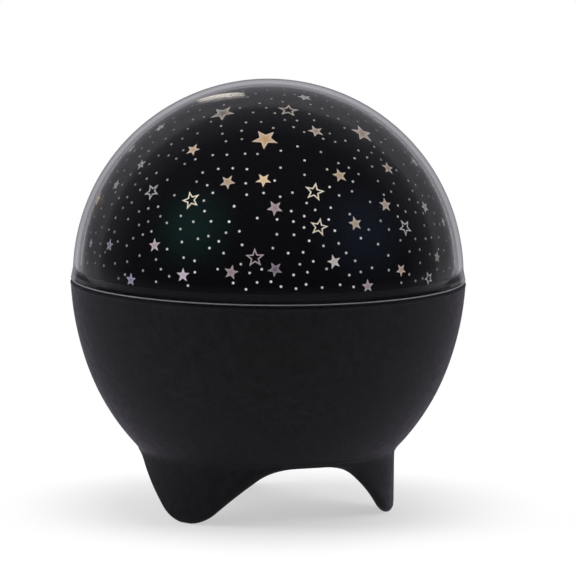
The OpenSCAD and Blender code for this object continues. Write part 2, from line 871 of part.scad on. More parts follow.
module board_screws() {
    color(steel)
    for (side = [-1, 1])
        translate([side * board_screw[0], board_y, board_screw[1]])
            rotate([90, 0, 0]) screw(0.85, 5.5, 1.8, 1.2);
}

// ---- Wiring ----

wire_r = 0.6;

module battery_leads() {
    for (side = [-1, 1])
        color(side > 0 ? "#a23a34" : "#1f1f21")
            wire([
                [side * 16, box_in[1] / 2, cell_z + 2],
                [side * 16, 34, cell_z + 2],
                [side * 15, 41, 46],
                [side * 15, board_y, 46]
            ], wire_r);
}

// A point beside the motor: x along its flat sides, y out of the one that faces the middle
function by_motor(x, y, z) = [
    motor_axis[0] - x * sin(motor_angle) - y * cos(motor_angle),
    motor_axis[1] + x * cos(motor_angle) - y * sin(motor_angle),
    z
];

module motor_leads() {
    for (side = [-1, 1])
        color(side > 0 ? "#a23a34" : "#1f1f21")
            wire([
                by_motor(side * 3, can_flat / 2, 42),
                by_motor(side * 3, can_flat / 2 + 8, 42),
                [7 + side * 2, 20, 58],
                [7 + side * 2, board_y, 58]
            ], wire_r);
}

module led_leads() {
    for (i = [-1, 0, 1])
        color(i == 0 ? "#d8d4c8" : "#7b7f8a")
            wire([
                [1.5 * i, 0, post_top],
                [1.5 * i, 0, 55],
                [-6 + 1.5 * i, 42, 62],
                [-6 + 1.5 * i, board_y, 62]
            ], wire_r);
}

body_shell();
clear_cover();
star_dome();
turntable();
deck();
light_post();
led_board();
led_chips();
reduction_gear();
gear_axle();
motor_pinion();
motor_shaft();
motor_can();
motor_end_cap();
motor_clamp();
base_plate();
battery_door();
battery_door_screw();
battery_cells();
battery_springs();
battery_contacts();
main_board();
board_components();
tact_switches();
power_socket();
light_button();
colour_button();
turn_button();
deck_screws();
base_screws();
clamp_screws();
post_screws();
led_screws();
board_screws();
battery_leads();
motor_leads();
led_leads();
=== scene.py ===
import math

import bpy
import numpy as np
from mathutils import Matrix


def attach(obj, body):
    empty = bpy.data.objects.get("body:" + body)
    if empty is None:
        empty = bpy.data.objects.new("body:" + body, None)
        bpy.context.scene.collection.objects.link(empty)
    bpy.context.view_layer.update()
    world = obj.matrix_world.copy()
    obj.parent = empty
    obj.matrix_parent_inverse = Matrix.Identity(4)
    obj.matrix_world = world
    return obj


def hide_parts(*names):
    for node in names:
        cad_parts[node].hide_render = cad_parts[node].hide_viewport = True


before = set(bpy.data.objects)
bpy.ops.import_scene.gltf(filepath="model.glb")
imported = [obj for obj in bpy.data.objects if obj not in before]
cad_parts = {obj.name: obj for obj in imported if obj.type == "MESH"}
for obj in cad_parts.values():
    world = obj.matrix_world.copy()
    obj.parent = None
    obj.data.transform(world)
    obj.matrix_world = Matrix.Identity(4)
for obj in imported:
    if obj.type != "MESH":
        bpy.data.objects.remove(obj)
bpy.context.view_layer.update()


# ---- Bowl and legs ----
# One moulding in black ABS: a bowl whose wall runs on down as three wave-shaped legs. It is
# injection moulded in one shot, with a fine eroded texture outside and soft edges all round.

rim_r, rim_lip, seam_z = 0.065, 0.0001, 0.0757
upper_arc, lower_arc, arcs_meet = 0.096, 0.0755, 0.0477
rim_tilt = math.radians(2.5)
upper_c = np.array([
    rim_r - rim_lip - upper_arc * math.cos(rim_tilt), seam_z + upper_arc * math.sin(rim_tilt)
])
meet_tilt = math.asin((upper_c[1] - arcs_meet) / upper_arc)
lower_c = upper_c + (upper_arc - lower_arc) * np.array([math.cos(meet_tilt), -math.sin(meet_tilt)])
bowl_wall = 0.0022
leg_h, leg_reach, leg_curve, tip_flat = 0.020, 0.034, 0.016, 0.004
leg_band, band_slope = 0.0004, 0.0248
skirt_r, skirt_in, crease = 0.04206, 0.03875, 0.0006
ledge_z, ledge_t, ledge_r, rebate_r = 0.072, 0.0024, 0.0606, 0.0631


def wall_line(z, inset=0.0):
    """Radius of the bowl's wall at height z, on the upper of its two tangent arcs above the
    height where they meet and on the lower arc under it. Both arcs shrink by inset."""
    meet = upper_c[1] - (upper_arc - inset) * math.sin(meet_tilt)
    upper = upper_c[0] + np.sqrt((upper_arc - inset) ** 2 - (z - upper_c[1]) ** 2)
    lower = lower_c[0] + np.sqrt((lower_arc - inset) ** 2 - (z - lower_c[1]) ** 2)
    return np.where(z > meet, upper, lower)


def leg_edge(x):
    """Height of a leg's lower edge at a distance x from its middle line: a round tip that the
    floor flattens, a straight flank tangent to it, a hollow shoulder tangent to the flank, and
    a narrow band that climbs a little further on."""
    x = np.abs(x)
    sink = leg_curve - math.sqrt(leg_curve**2 - (tip_flat / 2) ** 2)
    rise = leg_h - leg_band + sink
    span = math.hypot(leg_reach, rise - 2 * leg_curve)
    slope = math.atan2(rise - 2 * leg_curve, leg_reach) + math.asin(2 * leg_curve / span)
    end = leg_curve * math.sin(slope)
    tip = leg_curve - np.sqrt(leg_curve**2 - np.minimum(x, end) ** 2)
    flank = leg_curve * (1 - math.cos(slope)) + (x - end) * math.tan(slope)
    back = np.clip(leg_reach - x, 0, end)
    shoulder = rise - leg_curve + np.sqrt(leg_curve**2 - back**2)
    z = np.where(x < end, tip, np.where(x < leg_reach - end, flank, shoulder))
    z = z + np.maximum(x - leg_reach, 0) * band_slope
    return np.maximum(z - sink, 0)


def grid_faces(rows, columns, rows_join):
    """Quads of a grid of rows x columns points whose columns run round in a ring. The rows run
    round too if rows_join."""
    i = np.arange(rows if rows_join else rows - 1)[:, None]
    j = np.arange(columns)[None, :]
    below, beside = (i + 1) % rows, (j + 1) % columns
    corners = (i * columns + j, i * columns + beside, below * columns + beside, below * columns + j)
    return np.stack([np.broadcast_to(c, (len(i), columns)) for c in corners], -1).reshape(-1, 4)


def make_piece(name, points, faces, sharp=None):
    """A mesh object in the row frame from points and faces, smooth, with the edges sharper than
    the angle sharp (degrees) left crisp."""
    mesh = bpy.data.meshes.new(name)
    mesh.from_pydata(points.reshape(-1, 3).tolist(), [], [list(f) for f in faces])
    mesh.shade_smooth()
    if sharp:
        mesh.set_sharp_from_angle(angle=math.radians(sharp))
    piece = bpy.data.objects.new(name, mesh)
    bpy.context.scene.collection.objects.link(piece)
    return piece


def turned(profile_r, profile_z, angles):
    """Points of a surface of revolution: each (radius, height) of the profile at each angle
    round the Z axis. Radius and height may themselves change with the angle."""
    c, s = np.cos(angles), np.sin(angles)
    return np.stack(np.broadcast_arrays(profile_r * c, profile_r * s, profile_z), -1)


def bowl_surface(turns=480):
    """Points of the bowl's closed skin: a loop of (radius, height) that goes over the rim and
    the small step at its outer edge, down the outside, round the legs' lower edge and up the
    inside, turned round Z. The loop's lower part follows each leg's edge, and the edge itself
    is a little fuller than half an ellipse across the wall."""
    angles = np.arange(turns) * 2 * math.pi / turns
    from_leg = np.mod(angles + math.pi / 2 + math.pi / 3, 2 * math.pi / 3) - math.pi / 3
    rim = [
        (rebate_r, seam_z - 0.0003), (rebate_r + 0.0001, seam_z - 0.0001),
        (rebate_r + 0.0003, seam_z), (rim_r - 0.0012, seam_z), (rim_r - 0.00105, seam_z - 0.0001),
        (rim_r - 0.001, seam_z - 0.0004), (rim_r - 0.0008, seam_z - 0.00055),
        (rim_r - 0.00035, seam_z - 0.0006), (rim_r - 0.00012, seam_z - 0.00075),
        (rim_r - 0.00003, seam_z - 0.00095),
    ]
    down = np.linspace(seam_z - 0.0012, leg_h + 0.0014, 60)
    loop_r = [np.full(turns, p[0]) for p in rim] + [np.full(turns, r) for r in wall_line(down)]
    loop_z = [np.full(turns, p[1]) for p in rim] + [np.full(turns, z) for z in down]
    # How far the rounding reaches up the wall: half its thickness, and more on a steep flank
    middle_r, half_wall = (skirt_r + skirt_in) / 2, (skirt_r - skirt_in) / 2
    x, step, least = middle_r * np.sin(from_leg), 0.0002, 0.0006
    steep = (leg_edge(x + step) - leg_edge(x - step)) / (2 * step)
    reach = np.minimum(half_wall * np.sqrt(1 + steep**2), np.maximum(leg_h - leg_edge(x), least))
    start = leg_edge(skirt_r * np.sin(from_leg)) + reach
    # The bowl's arc passes into the leg's upright wall in a soft crease
    for t in np.linspace(0, 1, 11)[1:]:
        z = down[-1] + (start - down[-1]) * t
        a, b = wall_line(z), skirt_r
        loop_r.append((a + b + np.sqrt((a - b) ** 2 + crease**2)) / 2)
        loop_z.append(z)
    outer = loop_r[-1]
    for t in np.linspace(0, math.pi, 15)[1:]:
        r = (outer + skirt_in) / 2 + (outer - skirt_in) / 2 * math.cos(t)
        loop_r.append(r)
        loop_z.append(leg_edge(r * np.sin(from_leg)) + reach * (1 - math.sin(t) ** 0.9))
    under = loop_z[-1]
    for t in np.linspace(0, 1, 6)[1:]:
        loop_r.append(np.full(turns, skirt_in))
        loop_z.append(under + (leg_h + 0.001 - under) * t)
    up = np.linspace(leg_h + 0.001, ledge_z - ledge_t, 24)
    loop_r += [np.full(turns, r) for r in wall_line(up, bowl_wall)]
    loop_z += [np.full(turns, z) for z in up]
    for r, z in ((ledge_r, ledge_z - ledge_t), (ledge_r, ledge_z), (rebate_r, ledge_z)):
        loop_r.append(np.full(turns, r))
        loop_z.append(np.full(turns, z))
    return turned(np.array(loop_r), np.array(loop_z), angles)


def rounded_outline(width, height, corner, steps=8):
    """Points (x, z) once round a rectangle with round corners: one quarter circle, turned by a
    right angle from each corner to the next."""
    a = np.linspace(0, math.pi / 2, steps)
    quarter = corner * np.stack([np.cos(a), np.sin(a)], 1)
    turn = np.array([[0, -1], [1, 0]])
    sides = []
    for k, (sx, sz) in enumerate([(1, 1), (-1, 1), (-1, -1), (1, -1)]):
        middle = np.array([sx * (width / 2 - corner), sz * (height / 2 - corner)])
        sides.append(middle + quarter @ np.linalg.matrix_power(turn, k).T)
    return np.concatenate(sides)


def plug_along_y(outline, centre_z, start, end):
    """Points and faces of a closed prism along Y. start and end are places in Y, or functions
    of (x, z) for an end that follows the bowl. Each end is closed by shrinking rings."""
    rings = []
    shares = (0.02, 0.5, 1, 1, 0.75, 0.5, 0.25, 0.02)
    for share, face in zip(shares, 3 * [start] + 5 * [end]):
        x, z = outline[:, 0] * share, outline[:, 1] * share + centre_z
        y = face(x, z) if callable(face) else np.full(len(x), face)
        rings.append(np.stack([x, y, z], -1))
    points = np.array(rings)
    n, k = points.shape[:2]
    faces = [list(f) for f in grid_faces(n, k, False)[:, ::-1]]
    faces += [list(range(k)), [(n - 1) * k + i for i in range(k)][::-1]]
    return points.reshape(-1, 3), faces


def joined(parts):
    """Several (points, faces) as one, with the later faces' numbers moved on."""
    points, faces, start = [], [], 0
    for p, f in parts:
        points.append(p)
        faces += [[start + i for i in face] for face in f]
        start += len(p)
    return np.concatenate(points), faces


def carve(piece, operation, points, faces):
    """Adds or takes away a closed tool shape, and keeps the result as the piece's own mesh."""
    tool = make_piece(piece.name + "_tool", points, faces)
    change = piece.modifiers.new("carve", "BOOLEAN")
    change.object, change.operation, change.solver = tool, operation, "MANIFOLD"
    view = bpy.context.evaluated_depsgraph_get()
    mesh = bpy.data.meshes.new_from_object(piece.evaluated_get(view))
    piece.modifiers.clear()
    piece.data = mesh
    bpy.data.objects.remove(tool)


bowl_points = bowl_surface()
bowl = make_piece("bowl_moulding", bowl_points, grid_faces(*bowl_points.shape[:2], True)[:, ::-1])

panel_y, panel_t, panel_z = 0.0585, 0.0022, 0.0625
pocket_w, pocket_h, pocket_corner, pocket_wall = 0.046, 0.013, 0.003, 0.0018
plug_w, plug_h, plug_corner, plug_z, plug_from = 0.0114, 0.0068, 0.0016, 0.049, 0.0526
button_d, button_pitch = 0.0082, 0.014
beyond_wall = 0.07


def inside_wall(x, z):
    """Depth Y of a surface 1 mm inside the bowl's outside."""
    return np.sqrt((wall_line(z) - 0.001) ** 2 - x**2)


# The thick wall round the control pocket, then the pocket, the plug hole and the button holes
block = rounded_outline(
    pocket_w + 2 * pocket_wall, pocket_h + 2 * pocket_wall, pocket_corner + pocket_wall
)
pocket = rounded_outline(pocket_w, pocket_h, pocket_corner)
plug_hole = rounded_outline(plug_w, plug_h, plug_corner)
button_hole = rounded_outline(button_d, button_d, button_d / 2, 12)
carve(bowl, "UNION", *plug_along_y(block, panel_z, panel_y - panel_t, inside_wall))
carve(bowl, "DIFFERENCE", *joined([
    plug_along_y(pocket, panel_z, panel_y, beyond_wall),
    plug_along_y(plug_hole, plug_z, plug_from, beyond_wall),
]))
# The bores run on past both faces of the panel
bore, bore_faces = plug_along_y(button_hole, panel_z, panel_y - 0.003, panel_y + 0.0005)
carve(bowl, "DIFFERENCE", *joined([
    (bore + np.array([x, 0, 0]), bore_faces) for x in (-button_pitch, 0, button_pitch)
]))
bowl.data.shade_smooth()
bowl.data.set_sharp_from_angle(angle=math.radians(50))


def linear(colour):
    """An sRGB hex colour as linear red, green, blue and 1: a twelfth and a bit of it near black,
    and its 2.4th power above."""
    parts = [int(colour[i : i + 2], 16) / 255 for i in (1, 3, 5)]
    return tuple(c / 12.92 if c <= 0.04045 else ((c + 0.055) / 1.055) ** 2.4 for c in parts) + (1,)


def add(tree, kind, inputs=None, **settings):
    """Adds one node. settings are the node's own. Each input is named, or numbered where names
    repeat, and gets a value or the output socket that feeds it."""
    node = tree.nodes.new("ShaderNode" + kind)
    for key, value in settings.items():
        setattr(node, key, value)
    for key, value in (inputs or {}).items():
        if isinstance(value, bpy.types.NodeSocket):
            tree.links.new(value, node.inputs[key])
        else:
            node.inputs[key].default_value = value
    return node


def material(name, colour, roughness, **constants):
    """A new material with one Principled shader. Its colour is an sRGB hex. The other constants
    go on the shader's own sockets, with _ for a space. Returns it, its tree and its shader."""
    made = bpy.data.materials.new(name)
    made.use_nodes = True
    shader = made.node_tree.nodes["Principled BSDF"]
    shader.inputs["Base Color"].default_value = linear(colour)
    shader.inputs["Roughness"].default_value = roughness
    for key, value in constants.items():
        shader.inputs[key.replace("_", " ")].default_value = value
    return made, made.node_tree, shader


def mottle(tree, shader, size, colours, rough, bump, depth):
    """Noise with patches of the given size mixes two colours and two roughnesses, and noise with
    grains of the size bump lifts the surface by depth, all in metres. Returns the Object
    coordinates and the mixed colour."""
    place = add(tree, "TexCoord").outputs["Object"]
    noise = add(
        tree, "TexNoise", {"Vector": place, "Scale": 1 / size, "Detail": 4.0, "Roughness": 0.6}
    )
    patch = add(
        tree, "MapRange", {"Value": noise.outputs["Fac"], "From Min": 0.35, "From Max": 0.65}
    ).outputs["Result"]
    tone = add(
        tree, "Mix", {0: patch, 6: linear(colours[0]), 7: linear(colours[1])}, data_type="RGBA"
    ).outputs[2]
    tree.links.new(tone, shader.inputs["Base Color"])
    dull = add(tree, "MapRange", {"Value": patch, "To Min": rough[0], "To Max": rough[1]})
    tree.links.new(dull.outputs["Result"], shader.inputs["Roughness"])
    grain = add(tree, "TexNoise", {"Vector": place, "Scale": 1 / bump, "Detail": 3.0})
    lift = add(tree, "Bump", {"Height": grain.outputs["Fac"], "Strength": 0.6, "Distance": depth})
    tree.links.new(lift.outputs["Normal"], shader.inputs["Normal"])
    return place, tone


# Black ABS with an eroded mould texture: matt, with a soft sheen where light grazes it. The
# real grain is about 0.1 mm. It is drawn at 0.9 mm so that it shows.
textured_abs, tree, shader = material(
    "textured_black_abs", "#19181b", 0.55, Specular_IOR_Level=0.35, Sheen_Weight=0.2,
    Sheen_Roughness=0.35, Sheen_Tint=linear("#b9aecb"),
)
mottle(tree, shader, 0.0028, ("#131215", "#1b1a1e"), (0.45, 0.65), 0.0009, 0.00008)
bowl.data.materials.clear()
bowl.data.materials.append(textured_abs)
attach(bowl, "housing")
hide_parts("body_shell")


# ---- Inner parts ----
# What stands inside the bowl: deck, drive, light and battery box. The plastic ones are plain
# moulded ABS or natural acetal, and the metal ones are turned or stamped.


def dress(made, *names):
    """Gives these CAD nodes the material, in every slot."""
    for name in names:
        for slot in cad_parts[name].material_slots:
            slot.material = made


# Plain moulded ABS from polished steel: a dull black gloss with hardly any grain
inner_abs, tree, shader = material("moulded_black_abs", "#2a2a2c", 0.45)
mottle(tree, shader, 0.003, ("#262628", "#303033"), (0.38, 0.5), 0.0012, 0.00002)
dress(
    inner_abs, "deck", "base_plate", "battery_door", "motor_end_cap", "power_socket", "turntable",
    "light_post",
)

# Natural acetal, moulded: creamy white and waxy, and light goes a little way into it
natural_acetal, tree, shader = material("natural_acetal", "#e6e1d2", 0.35, Subsurface_Weight=0.1)
mottle(tree, shader, 0.004, ("#e0dac9", "#ebe7db"), (0.3, 0.4), 0.002, 0.00001)
dress(natural_acetal, "reduction_gear")

# ABS buttons from a smoother mould than the bowl's: a shade glossier than the wall round them
button_abs, tree, shader = material("button_abs", "#26262a", 0.35)
mottle(tree, shader, 0.002, ("#232327", "#2c2c31"), (0.3, 0.42), 0.0009, 0.00002)
dress(button_abs, "light_button", "colour_button", "turn_button")

# Steel sheet, wire and screws, zinc plated: bright grey metal, a little cloudy
plated_steel, tree, shader = material("zinc_plated_steel", "#b7babf", 0.3, Metallic=1.0)
mottle(tree, shader, 0.0015, ("#aab0b6", "#c4c6c9"), (0.22, 0.38), 0.0008, 0.00001)
dress(
    plated_steel, "gear_axle", "motor_shaft", "motor_can", "motor_clamp", "battery_door_screw",
    "deck_screws", "base_screws", "clamp_screws", "post_screws", "led_screws", "board_screws",
    "battery_springs", "battery_contacts",
)

# Brass, turned and hobbed: yellow metal with a soft shine
turned_brass, tree, shader = material("turned_brass", "#c2a15c", 0.28, Metallic=1.0)
mottle(tree, shader, 0.001, ("#b8954f", "#ccae6c"), (0.22, 0.34), 0.0006, 0.00001)
dress(turned_brass, "motor_pinion")

# Glass-fibre board under white solder mask, so that it throws the light up: satin white
white_board, tree, shader = material("white_board", "#e9e9e4", 0.4)
mottle(tree, shader, 0.002, ("#e4e4de", "#eeeeea"), (0.35, 0.45), 0.001, 0.00001)
dress(white_board, "led_board")

# Silicone full of phosphor, poured over the light chips: warm yellow, with a rubbery gloss
led_silicone, tree, shader = material("led_silicone", "#e8cf62", 0.3)
mottle(tree, shader, 0.0008, ("#e0c352", "#efdb7c"), (0.25, 0.35), 0.0005, 0.00001)
dress(led_silicone, "led_chips")

# Printed sleeve on a steel can: glossy blue film. The cells lie side by side, every other one
# turned round, and their ends are bare: the flat one 20.1 mm from the middle, the nub's 23.4 mm.
cell_pitch, flat_end, nub_end = 0.01075, 0.0201, 0.0234
cell_sleeve, tree, shader = material("cell_sleeve", "#3d6f8f", 0.25)
place, tone = mottle(tree, shader, 0.004, ("#386885", "#44789a"), (0.2, 0.3), 0.002, 0.00001)
split = add(tree, "SeparateXYZ", {0: place}).outputs
row = add(tree, "Math", {0: split["X"], 1: math.pi / cell_pitch}, operation="MULTIPLY")
row = add(tree, "Math", {0: row.outputs[0]}, operation="SINE")
row = add(tree, "Math", {0: row.outputs[0]}, operation="SIGN")
along = add(tree, "Math", {0: row.outputs[0], 1: split["Y"]}, operation="MULTIPLY")
nub = add(tree, "Math", {0: along.outputs[0], 1: nub_end}, operation="GREATER_THAN")
flat = add(tree, "Math", {0: along.outputs[0], 1: -flat_end}, operation="LESS_THAN")
bare = add(tree, "Math", {0: nub.outputs[0], 1: flat.outputs[0]}, operation="MAXIMUM").outputs[0]
can = add(tree, "Mix", {0: bare, 6: tone, 7: linear("#b7babf")}, data_type="RGBA")
tree.links.new(can.outputs[2], shader.inputs["Base Color"])
tree.links.new(bare, shader.inputs["Metallic"])
dress(cell_sleeve, "battery_cells")

# Glass-fibre board under green solder mask: deep green, with a satin gloss
green_board, tree, shader = material("green_board", "#2f5d3a", 0.35)
mottle(tree, shader, 0.0015, ("#29532f", "#356742"), (0.3, 0.42), 0.0008, 0.00001)
dress(green_board, "main_board")

# Black moulding epoxy: the matt charcoal of chips and switches
component_epoxy, tree, shader = material("component_epoxy", "#242426", 0.5)
mottle(tree, shader, 0.0008, ("#1f1f21", "#2b2b2e"), (0.45, 0.6), 0.0005, 0.00001)
dress(component_epoxy, "board_components", "tact_switches")

# PVC leads, extruded, with a soft gloss: one red and one black to the cells, blue to the motor,
# white to the light
battery_pvc, tree, shader = material("battery_lead_pvc", "#8a2a24", 0.4)
place, tone = mottle(tree, shader, 0.002, ("#7f2620", "#97302a"), (0.35, 0.45), 0.001, 0.00001)
side = add(tree, "SeparateXYZ", {0: place}).outputs["X"]
left = add(tree, "Math", {0: side, 1: 0.0}, operation="LESS_THAN")
lead = add(tree, "Mix", {0: left.outputs[0], 6: tone, 7: linear("#202022")}, data_type="RGBA")
tree.links.new(lead.outputs[2], shader.inputs["Base Color"])
dress(battery_pvc, "battery_leads")

motor_pvc, tree, shader = material("motor_lead_pvc", "#2b4a86", 0.4)
mottle(tree, shader, 0.002, ("#27447c", "#305292"), (0.35, 0.45), 0.001, 0.00001)
dress(motor_pvc, "motor_leads")

light_pvc, tree, shader = material("light_lead_pvc", "#dddcd6", 0.4)
mottle(tree, shader, 0.002, ("#d7d6cf", "#e4e3de"), (0.35, 0.45), 0.001, 0.00001)
dress(light_pvc, "led_leads")


# ---- Star dome ----
# A thin dome of clear film, printed black so that only stars and dots stay open. It drops on
# the turntable and turns with it. The open spots show the pearly back of the film.

film_r, film_z, film_wall, seat_z = 0.0612, 0.0779, 0.0006, 0.074
print_t, print_sunk, print_turn = 0.00003, 0.0001, 3.6
print_r = film_r + print_t


def dome_surface(outer_r, inner_r, centre_z, edge_z, turns, rows, foot=()):
    """A closed domed wall: from the outer pole down an outer circle to edge_z, through the foot
    points if any, and up an inner circle to the inner pole, turned round Z. Returns points and
    faces, each pole being one point."""
    fall = np.linspace(0, 1, rows)[1:]
    outer = fall * math.acos((edge_z - centre_z) / outer_r)
    inner = fall[::-1] * math.acos((edge_z - centre_z) / inner_r)
    r = np.concatenate([outer_r * np.sin(outer), [p[0] for p in foot], inner_r * np.sin(inner)])
    z = centre_z + np.concatenate([
        outer_r * np.cos(outer), [p[1] - centre_z for p in foot], inner_r * np.cos(inner)
    ])
    angles = np.arange(turns) * 2 * math.pi / turns
    points = turned(r[:, None], z[:, None], angles).reshape(-1, 3)
    poles = [[0, 0, centre_z + outer_r], [0, 0, centre_z + inner_r]]
    n, ring = len(points), np.arange(turns)
    beside, last = np.roll(ring, -1), n - turns
    faces = grid_faces(len(r), turns, False)[:, ::-1].tolist()
    faces += np.stack([0 * ring + n, ring, beside], 1).tolist()
    faces += np.stack([0 * ring + n + 1, last + beside, last + ring], 1).tolist()
    return np.concatenate([points, poles]), faces


film = make_piece("star_film", *dome_surface(film_r, film_r - film_wall, film_z, seat_z, 192, 72), 40)

# Gloss black print on polycarbonate film: nearly black, and it mirrors like the clear plastic
# over it. Two faint teal and blue patches are painted glow, the light inside showing through the
# print: two spots, each with its longitude, its height in degrees, its reach and its colour.
black_print, tree, shader = material("printed_black_film", "#08080b", 0.12, Specular_IOR_Level=0.3)
place = add(tree, "TexCoord").outputs["Object"]
print_and_glow = linear("#08080c")
for lon, lat, size, colour in ((-78, 20, 0.017, "#132a27"), (-24, 18, 0.02, "#191f2c")):
    lon, lat = math.radians(lon + print_turn), math.radians(lat)
    way = [math.cos(lat) * math.cos(lon), math.cos(lat) * math.sin(lon), math.sin(lat)]
    glow_middle = film_r * np.array(way) + [0, 0, film_z]
    reach = add(tree, "VectorMath", {0: place, 1: tuple(glow_middle)}, operation="DISTANCE")
    near = add(
        tree, "MapRange", {"Value": reach.outputs["Value"], "From Min": size, "From Max": 0.0},
        interpolation_type="SMOOTHSTEP",
    )
    print_and_glow = add(
        tree, "Mix", {0: near.outputs["Result"], 6: print_and_glow, 7: linear(colour)}, data_type="RGBA"
    ).outputs[2]
tree.links.new(print_and_glow, shader.inputs["Base Color"])
film.data.materials.append(black_print)

# Stars on the side turned to the camera: longitude and height in degrees, width across the
# points in millimetres, turn in degrees, colour. The other half repeats them.
# Each colour is the star as it looks there, so the greyer and darker ones towards the dome's outline
# are partly painted shade.
ivory, amber, gold, cream, beige, peach = (
    "#eadcc0", "#b89264", "#b09272", "#e3c294", "#a8957f", "#a68a7a",
)
bronze, pearl, slate, pink = "#7f6f60", "#c9c1bb", "#7d8186", "#a9979f"
lilac, mauve, purple, plum = "#9c858d", "#6c5b74", "#77709a", "#534a6e"
umber, tan, iron, orchid = "#5a4e43", "#93816f", "#606065", "#c8b9cb"
filled_stars = [
    (-85, 62, 7.7, -11, umber), (-56, 51, 8.2, 33, amber), (-88, 45.5, 4.7, -7, gold),
    (-121, 52, 4, 0, slate), (-111, 38, 3.7, 30, iron), (-120, 30, 3.6, 10, iron),
    (-69, 35, 4.9, -24, gold), (-56, 36, 4.9, 35, cream), (-52, 27, 5, 30, lilac),
    (-91, 14, 4.3, 10, pink), (-111, 12, 3.8, 0, plum), (-124, 11, 3, 0, mauve),
    (-99, 3, 4.2, 0, purple), (-80, 6, 4.4, 2, orchid), (-65, 7.6, 4.5, -11, lilac),
    (-52, 8.7, 4.6, 29, mauve), (-18, 72, 4.6, -10, slate), (-30, 54, 5.1, 8, tan),
    (-3.5, 51.5, 7.6, -20, bronze), (-27, 37, 4.9, 4, gold), (-3, 38, 4.5, -20, bronze),
    (20, 38, 3.9, 0, slate), (-12, 26.5, 4.6, -8, tan), (8, 24, 3.8, 10, iron),
    (19, 18, 3.2, 0, slate), (-25.5, 21.6, 4.6, 6, beige), (8, 8.7, 3.5, -16, umber),
    (-34, 10.6, 4.5, 13, pearl), (-10.6, 6.7, 4, 31, peach), (-23.3, 2.9, 4.2, 1, lilac),
    (22, 2, 3, 0, purple), (37, 55, 4.6, 10, beige), (33, 8, 4.2, 20, pink), (48, 24, 4.6, 0, cream),
    (43, 68, 5, -20, gold), (50, 42, 4.2, 30, slate),
]
open_stars = [
    (-98, 30, 5.7, -29, slate), (-81, 28.5, 6.1, 24, ivory), (-58, 12, 5.9, 3, lilac),
    (-41, 64.5, 6.6, -14, bronze), (-38, 32, 6.4, -16, ivory), (-38, 21, 5.9, -15, ivory),
    (-6, 19, 5.5, 24, slate), (2, 3, 4.4, 20, slate), (36, 30, 5.8, 10, cream),
]


def lay_on_dome(flat, longitude, latitude, depth):
    """Points of flat shapes (x, y in metres) laid on the dome round a middle point: each is
    carried along a great circle, then sunk by depth."""
    east = np.stack([-np.sin(longitude), np.cos(longitude), 0 * longitude], -1)
    up = np.stack([
        -np.sin(latitude) * np.cos(longitude), -np.sin(latitude) * np.sin(longitude), np.cos(latitude)
    ], -1)
    out = np.cross(east, up)
    reach = np.linalg.norm(flat, axis=-1, keepdims=True) + 1e-12
    bend = reach / film_r
    along = flat[..., :1] / reach * east[:, None] + flat[..., 1:] / reach * up[:, None]
    ball = out[:, None] * np.cos(bend) + along * np.sin(bend)
    return ball * (print_r - depth) + np.array([0, 0, film_z])


def patch_faces(count, rings, sides, hollow):
    """Faces of many like patches, one after another: quads between a patch's rings, the last
    joined to the first if it is hollow. Otherwise its first and last ring get a face each."""
    first = np.arange(count)[:, None] * rings * sides
    faces = (first[:, :, None] + grid_faces(rings, sides, hollow)[:, ::-1]).reshape(-1, 4).tolist()
    if not hollow:
        ring = np.arange(sides)
        faces += (first + ring).tolist() + (first + (rings - 1) * sides + ring[::-1]).tolist()
    return faces


def star_outline(size, turn):
    """Ten points of a five-pointed star of that width, the inner ones at 0.42 of the outer. Its
    width is 1.9 times the radius of its points."""
    a = np.radians(turn) + math.pi / 2 + np.arange(10) * math.pi / 5
    r = size / 1.9 * np.where(np.arange(10) % 2, 0.42, 1.0)
    return np.stack([r * np.cos(a), r * np.sin(a)], -1)


def printed_stars(stars, hollow):
    """Points, faces, colours and edge shares of thin closed star patches on the dome. Each is a
    stack of star outlines: smaller ones inside, and one sunk into the film. A hollow star has a
    star-shaped hole, so its stack ends in a sunk inner outline instead of a middle point."""
    data = np.array([s[:4] for s in stars], float)
    lon, lat = np.radians(data[:, 0] + print_turn), np.radians(data[:, 1])
    outline = np.stack([star_outline(s * 0.001, t) for s, t in data[:, 2:4]])
    if hollow:
        shares, sinks = (0.66, 0.66, 0.83, 1, 1), (print_sunk, 0, 0, 0, print_sunk)
        edges = (1, 1, 0.3, 1, 1)
    else:
        shares, sinks = (0.03, 0.35, 0.7, 1, 1, 0.03), (0, 0, 0, 0, print_sunk, print_sunk)
        edges = (0, 0.1, 0.4, 1, 1, 0)
    points = np.stack([lay_on_dome(outline * s, lon, lat, d) for s, d in zip(shares, sinks)], 1)
    n, k = len(shares), outline.shape[1]
    tints = np.repeat([linear(s[4]) for s in stars], n * k, 0)
    edge = np.tile(np.repeat(edges, k), len(stars))
    return points, patch_faces(len(stars), n, k, hollow), tints, edge


def store(piece, tints, edge):
    """Keeps each point's colour and its nearness to a printed edge as attributes."""
    colours = piece.data.attributes.new("tint", "FLOAT_COLOR", "POINT")
    colours.data.foreach_set("color", tints.astype(np.float32).ravel())
    edges = piece.data.attributes.new("edge", "FLOAT", "POINT")
    edges.data.foreach_set("value", edge.astype(np.float32))


def both_sides(stars):
    """The stars, and the same ones half a turn round."""
    return stars + [(s[0] + 180, *s[1:]) for s in stars]
